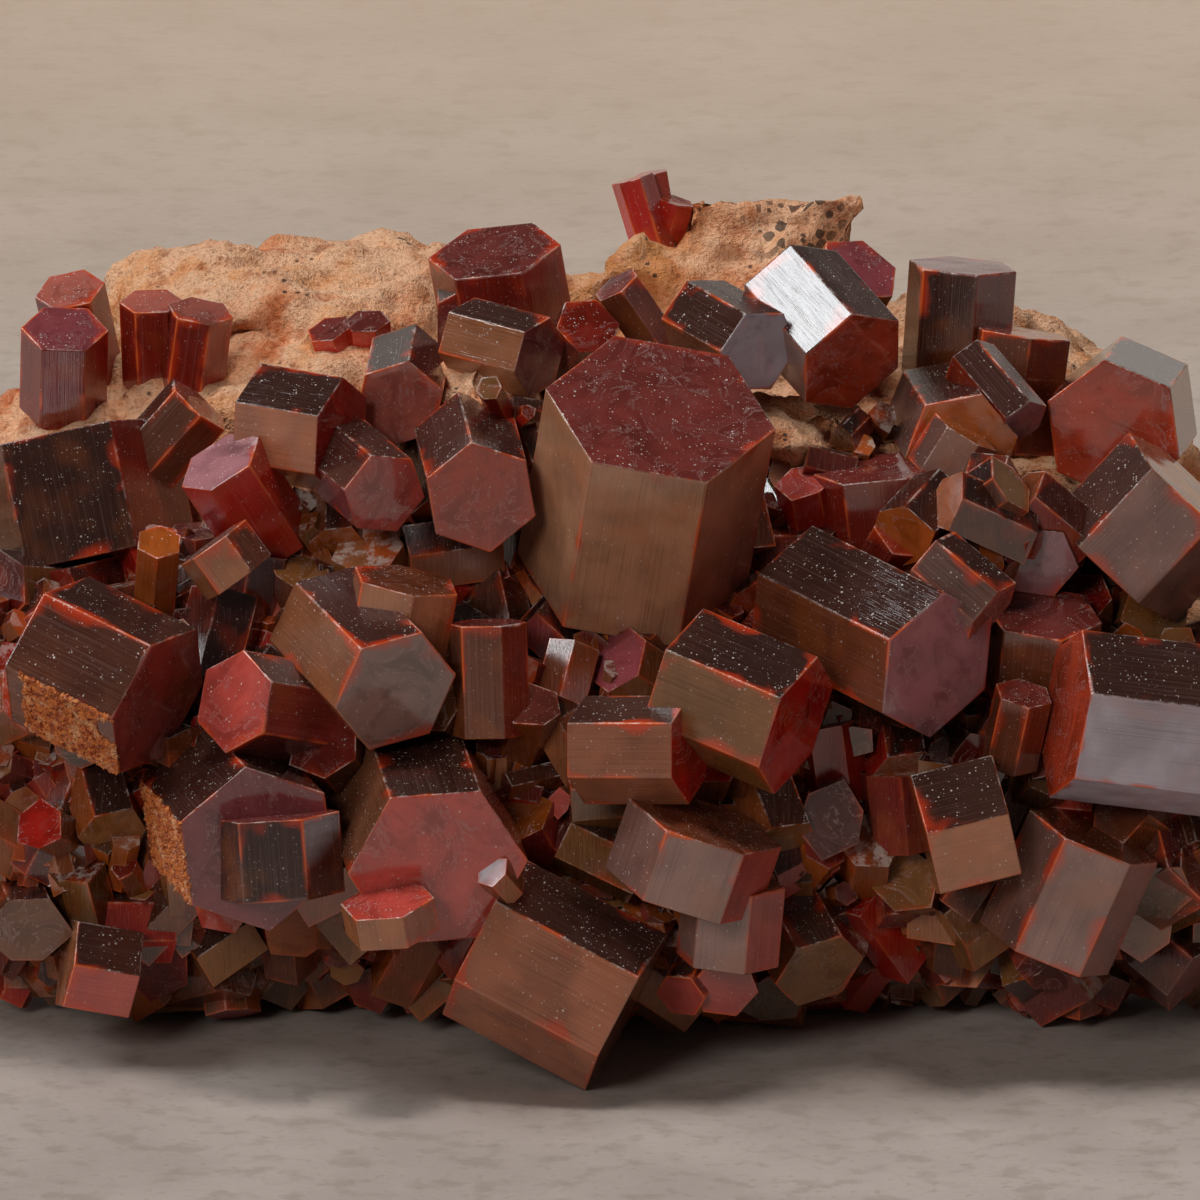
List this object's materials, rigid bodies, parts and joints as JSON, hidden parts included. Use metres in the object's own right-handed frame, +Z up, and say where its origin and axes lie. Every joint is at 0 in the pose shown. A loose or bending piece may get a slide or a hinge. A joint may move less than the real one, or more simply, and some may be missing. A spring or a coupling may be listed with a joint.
{
  "type": "vanadinite crystals on matrix rock",
  "caption": "Crowd of stout hexagonal red-brown vanadinite crystals on a long tan rock matrix, resting on its flat broken base.",
  "frame": {"origin": "middle of the bounding box, on the surface the specimen rests on", "axes": "+X along the specimen to the right, +Y away from the crystal front, +Z up"},
  "size_m": [0.0896, 0.0496, 0.0374],
  "materials": {
    "matrix_rock": "granular, dull",
    "small_crystals": "glossy crystals",
    "vanadinite_red": "glossy, lustrous",
    "vanadinite_dark": "glossy, lustrous",
    "vanadinite_tan": "glossy, lustrous"
  },
  "bodies": {
    "root": {"matrix": "matrix_rock", "small_crystal_crust": "small_crystals", "great_crystal": "vanadinite_tan", "rose_crystal": "vanadinite_red", "foot_crystal": "vanadinite_tan", "silvery_crystal": "vanadinite_dark", "nested_crystal": "vanadinite_red", "blue_topped_crystal": "vanadinite_dark", "big_tilted_crystal": "vanadinite_dark", "sandy_crystal": "vanadinite_tan", "red_faced_crystal": "vanadinite_red", "long_lying_crystal": "vanadinite_tan", "tan_fronted_crystal": "vanadinite_tan", "stepped_crystal": "vanadinite_dark", "lower_right_crystal": "vanadinite_tan", "grey_tan_crystal": "vanadinite_tan", "rose_left_crystal": "vanadinite_red", "big_grey_brown_crystal": "vanadinite_tan", "dark_left_crystal": "vanadinite_dark", "bright_crystal": "vanadinite_red", "grey_faced_crystal": "vanadinite_dark", "large_maroon_crystal": "vanadinite_red", "shoulder_crystal": "vanadinite_dark", "rose_shoulder_crystal": "vanadinite_red", "lilac_capped_crystal": "vanadinite_red", "rose_cap_crystal": "vanadinite_red", "amber_crystal": "vanadinite_tan", "red_prism_crystal": "vanadinite_red", "maroon_double_crystal": "vanadinite_red", "purple_crystal": "vanadinite_red", "lilac_right_crystal": "vanadinite_red", "pale_striated_crystal": "vanadinite_tan", "dark_topped_crystal": "vanadinite_dark", "dark_upright_crystal": "vanadinite_dark", "dark_striated_crystal": "vanadinite_dark", "brown_block_crystal": "vanadinite_dark", "pillar_pair": "vanadinite_red", "pale_capped_crystal": "vanadinite_tan", "purple_left_crystal": "vanadinite_red", "ridge_trio": "vanadinite_red", "red_ridge_pair": "vanadinite_red", "dark_red_crystal": "vanadinite_red", "slanting_crystal": "vanadinite_dark", "olive_faced_crystal": "vanadinite_tan", "lilac_slope_crystal": "vanadinite_red", "sparkling_red_crystal": "vanadinite_red", "dark_slope_crystal": "vanadinite_dark", "striated_tan_crystal": "vanadinite_tan", "amber_left_crystal": "vanadinite_tan", "brown_left_crystal": "vanadinite_tan", "narrow_right_crystal": "vanadinite_tan", "corner_left_crystal": "vanadinite_tan", "olive_belly_crystal": "vanadinite_tan", "pink_belly_group": "vanadinite_red", "right_end_crystal": "vanadinite_tan", "right_tip_crystal": "vanadinite_tan", "left_tip_crystal": "vanadinite_tan", "left_low_crystal": "vanadinite_dark", "back_crystal_pair": "vanadinite_tan", "back_low_crystal": "vanadinite_dark"}
  },
  "joints": []
}
